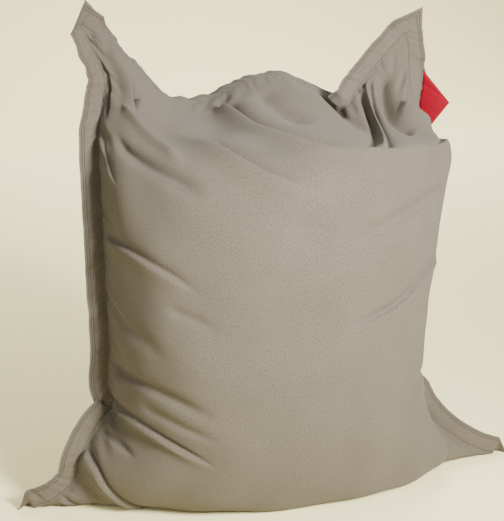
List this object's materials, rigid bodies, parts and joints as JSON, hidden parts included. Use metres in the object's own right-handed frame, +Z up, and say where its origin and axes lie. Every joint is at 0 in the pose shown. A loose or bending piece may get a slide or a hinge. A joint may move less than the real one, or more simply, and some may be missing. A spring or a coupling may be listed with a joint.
{
  "type": "bean bag chair",
  "caption": "Giant rectangular bean bag of woven fabric stood on its short side as a chair, with a flat hem, pointed corner ears, zipped cover, liner and side tag.",
  "frame": {"origin": "on the floor, under the middle of the bag's bounding box", "axes": "+Z up, the front faces -Y, +X is the right-hand side for someone who faces the front"},
  "size_m": [1.38, 0.6412, 1.3175],
  "materials": {
    "cover_canvas": "woven, slightly coated, satin",
    "tag_fabric": "woven label, satin",
    "liner_fabric": "matte",
    "bead_fill": "matte",
    "zip_tape": "woven, matte",
    "zip_coil": "satin",
    "zip_metal": "satin"
  },
  "bodies": {
    "bag": {"cover_front_panel": "cover_canvas", "cover_back_panel": "cover_canvas", "bottom_hem": "cover_canvas", "liner_front_panel": "liner_fabric", "liner_back_panel": "liner_fabric", "bead_filling": "bead_fill", "cover_zip_tape_upper": "zip_tape", "cover_zip_tape_lower": "zip_tape", "cover_zip_coil_upper": "zip_coil", "cover_zip_coil_lower": "zip_coil", "cover_zip_end_stops": "zip_metal", "liner_zip_tape_upper": "zip_tape", "liner_zip_tape_lower": "zip_tape", "liner_zip_coil_upper": "zip_coil", "liner_zip_coil_lower": "zip_coil", "liner_zip_end_stops": "zip_metal"},
    "cover_slider": {"cover_zip_slider": "zip_metal"},
    "cover_pull": {"cover_zip_pull": "zip_metal"},
    "liner_slider": {"liner_zip_slider": "zip_metal"},
    "tag": {"side_tag": "tag_fabric"}
  },
  "joints": [
    {"name": "cover_zip_travel", "type": "hinge", "parent": "bag", "child": "cover_slider", "pos_m": [0, -0.20766, 0.345], "axis": [0, 0, 1], "range_deg": [0, 63.6]},
    {"name": "pull_swing", "type": "hinge", "parent": "cover_slider", "child": "cover_pull", "pos_m": [0.27926, 0.24169, 0.345], "axis": [0, 0, 1], "range_deg": [0, 180]},
    {"name": "liner_zip_travel", "type": "hinge", "parent": "bag", "child": "liner_slider", "pos_m": [0, -0.20766, 0.415], "axis": [0, 0, 1], "range_deg": [0, 45.6]},
    {"name": "tag_flex", "type": "hinge", "parent": "bag", "child": "tag", "pos_m": [0.4923, 0.1098, 1.00503], "axis": [-0.0317, 0.3583, 0.9331], "range_deg": [-60, 60], "stiffness_Nm_per_rad": 0.01}
  ]
}
